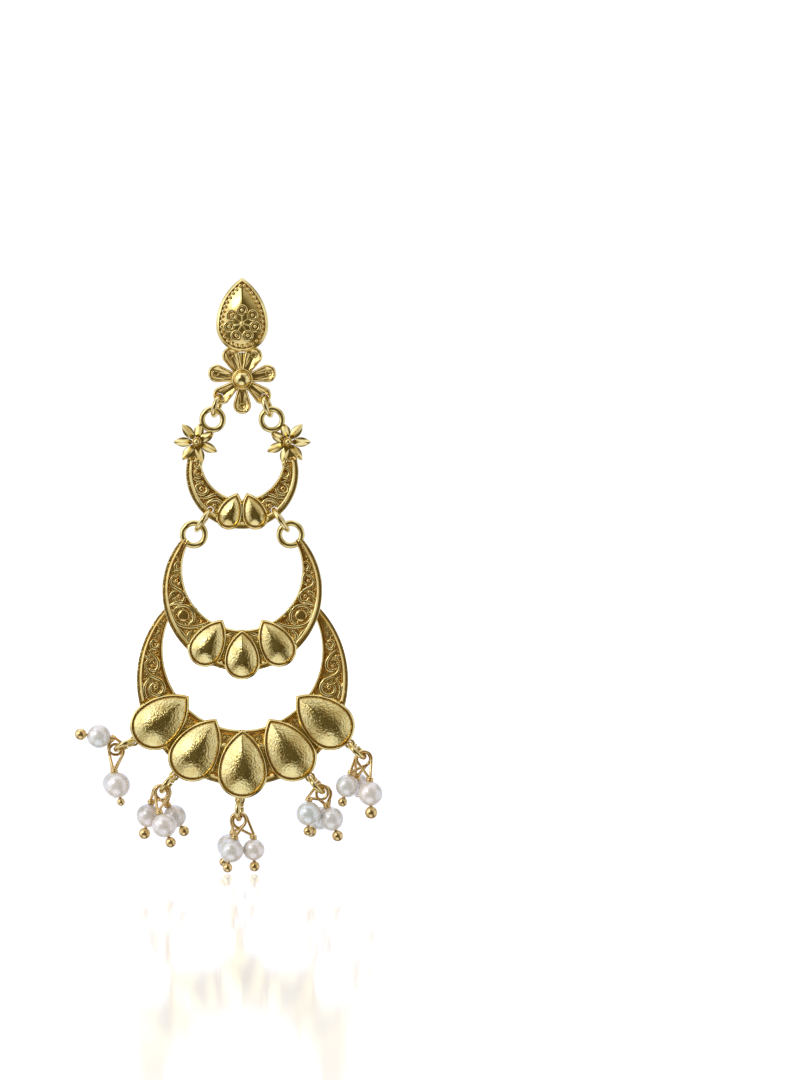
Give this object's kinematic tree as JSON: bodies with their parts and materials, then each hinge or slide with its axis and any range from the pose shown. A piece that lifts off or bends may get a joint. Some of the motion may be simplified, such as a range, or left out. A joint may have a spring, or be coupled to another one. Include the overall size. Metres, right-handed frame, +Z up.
{
  "type": "dangle earring",
  "caption": "Chandelier drop earring: a teardrop stud over a flower, three hinged crescents with domed teardrops, and clusters of pearls on rings.",
  "frame": {"origin": "middle of the ear post where it leaves the back of the stud, where the earring is pinned on", "axes": "+Z is up, the front faces -Y, the post points along +Y and X runs across the crescents"},
  "size_m": [0.0462, 0.0128, 0.0893],
  "materials": {
    "gold_casting": "cast brass with a satin hammered surface under bright yellow gold plate",
    "link_wire": "drawn brass wire, polished and gold plated",
    "pin_wire": "brass head pin wire with a warmer, slightly coppery gold plate",
    "post_wire": "plated steel ear post with a polished surface",
    "pearl": "cultured pearl, silver white with a faint lavender and blue lustre"
  },
  "bodies": {
    "stud": {"ear_stud": "gold_casting", "ear_post": "post_wire", "stud_link_left": "link_wire", "stud_link_right": "link_wire"},
    "upper": {"upper_crescent": "gold_casting", "upper_link_left": "link_wire", "upper_link_right": "link_wire"},
    "middle": {"middle_crescent": "gold_casting"},
    "lower": {"lower_crescent": "gold_casting", "drop_ring_1": "link_wire", "drop_ring_2": "link_wire", "drop_ring_3": "link_wire", "drop_ring_4": "link_wire", "drop_ring_5": "link_wire", "pearl_1": "pearl", "pearl_2": "pearl", "pearl_3": "pearl", "pearl_4": "pearl", "pearl_5": "pearl", "pearl_6": "pearl", "pearl_7": "pearl", "pearl_8": "pearl", "pearl_9": "pearl", "pearl_10": "pearl", "pearl_11": "pearl", "pearl_12": "pearl", "pearl_13": "pearl", "pearl_14": "pearl", "pearl_15": "pearl", "head_pin_1": "pin_wire", "head_pin_2": "pin_wire", "head_pin_3": "pin_wire", "head_pin_4": "pin_wire", "head_pin_5": "pin_wire", "head_pin_6": "pin_wire", "head_pin_7": "pin_wire", "head_pin_8": "pin_wire", "head_pin_9": "pin_wire", "head_pin_10": "pin_wire", "head_pin_11": "pin_wire", "head_pin_12": "pin_wire", "head_pin_13": "pin_wire", "head_pin_14": "pin_wire", "head_pin_15": "pin_wire"}
  },
  "joints": [
    {"name": "upper_swing", "type": "hinge", "parent": "stud", "child": "upper", "pos_m": [0, -0.0006, -0.01378], "axis": [1, 0, 0], "range_deg": [-60, 60]},
    {"name": "middle_swing", "type": "hinge", "parent": "upper", "child": "middle", "pos_m": [0, -0.0006, -0.03109], "axis": [1, 0, 0], "range_deg": [-60, 60]},
    {"name": "lower_swing", "type": "hinge", "parent": "middle", "child": "lower", "pos_m": [0, 0.001, -0.0407], "axis": [1, 0, 0], "range_deg": [-2, 60]}
  ]
}
